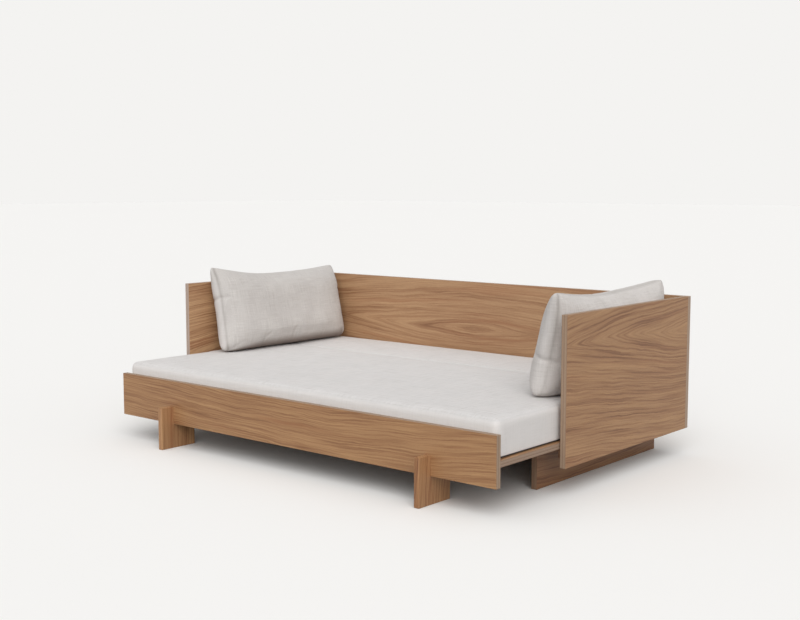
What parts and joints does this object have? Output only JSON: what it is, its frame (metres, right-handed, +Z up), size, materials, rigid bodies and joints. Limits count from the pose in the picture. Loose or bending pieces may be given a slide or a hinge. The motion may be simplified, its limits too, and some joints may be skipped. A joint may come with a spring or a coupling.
{
  "type": "sofa bed",
  "caption": "Plywood sofa bed with a pull-out front on slats, a mattress in two sections and loose cushions, open as a bed.",
  "frame": {"origin": "on the floor, under the middle of the open bed's outer box", "axes": "+X along the bed to the right as seen from the front, +Y from the front to the back panel, +Z up"},
  "size_m": [2.1, 1.407, 0.7391],
  "materials": {
    "veneer": "matte",
    "timber": "matte",
    "linen": "matte",
    "steel": "satin",
    "felt": "matte",
    "plastic": "matte",
    "rubber": "matte"
  },
  "bodies": {
    "frame": {"side_panel_left": "veneer", "side_panel_right": "veneer", "back_panel": "veneer", "skid_left": "veneer", "skid_right": "veneer", "rear_plinth": "veneer", "cross_rail_front": "timber", "cross_rail_middle": "timber", "side_runner_left": "timber", "side_runner_right": "timber", "fixed_slats": "veneer", "glide_strips": "plastic", "centre_feet": "timber", "panel_dowels": "timber", "rail_brackets": "steel", "frame_screws": "steel", "runner_screws": "steel", "fixed_slat_screws": "steel", "base_felts": "felt"},
    "pull_out": {"front_board": "veneer", "leg_left": "veneer", "leg_right": "veneer", "front_cleats": "timber", "cleat_screws": "steel", "slat_dowels": "timber", "tie_rail": "timber", "sliding_slats": "veneer", "outer_slat_left": "veneer", "outer_slat_right": "veneer", "sliding_slat_screws": "steel", "stop_bumpers": "rubber", "leg_felts": "felt", "mattress_main": "linen"},
    "rear_section": {"mattress_rear": "linen"},
    "cushion_left": {"cushion_left": "linen"},
    "cushion_right": {"cushion_right": "linen"}
  },
  "joints": [
    {"name": "pull_out_slide", "type": "slide", "parent": "frame", "child": "pull_out", "axis": [0, 1, 0], "range_m": [0, 0.386], "deforming": ["mattress_rear"]},
    {"name": "rear_section_turn", "type": "hinge", "parent": "frame", "child": "rear_section", "pos_m": [0, 0.67895, 0.34135], "axis": [-1, 0, 0], "range_deg": [0, 90]},
    {"name": "cushion_left_slide", "type": "slide", "parent": "frame", "child": "cushion_left", "axis": [0, -1, 0], "range_m": [0, 0.124]},
    {"name": "cushion_right_slide", "type": "slide", "parent": "frame", "child": "cushion_right", "axis": [0, -1, 0], "range_m": [0, 0.079]}
  ],
  "couplings": [
    {"joint": "rear_section_turn", "follows": "pull_out_slide", "rad_per_m": 4.0694},
    {"joint": "cushion_left_slide", "follows": "pull_out_slide", "ratio": 0.32124},
    {"joint": "cushion_right_slide", "follows": "pull_out_slide", "ratio": 0.20466}
  ]
}
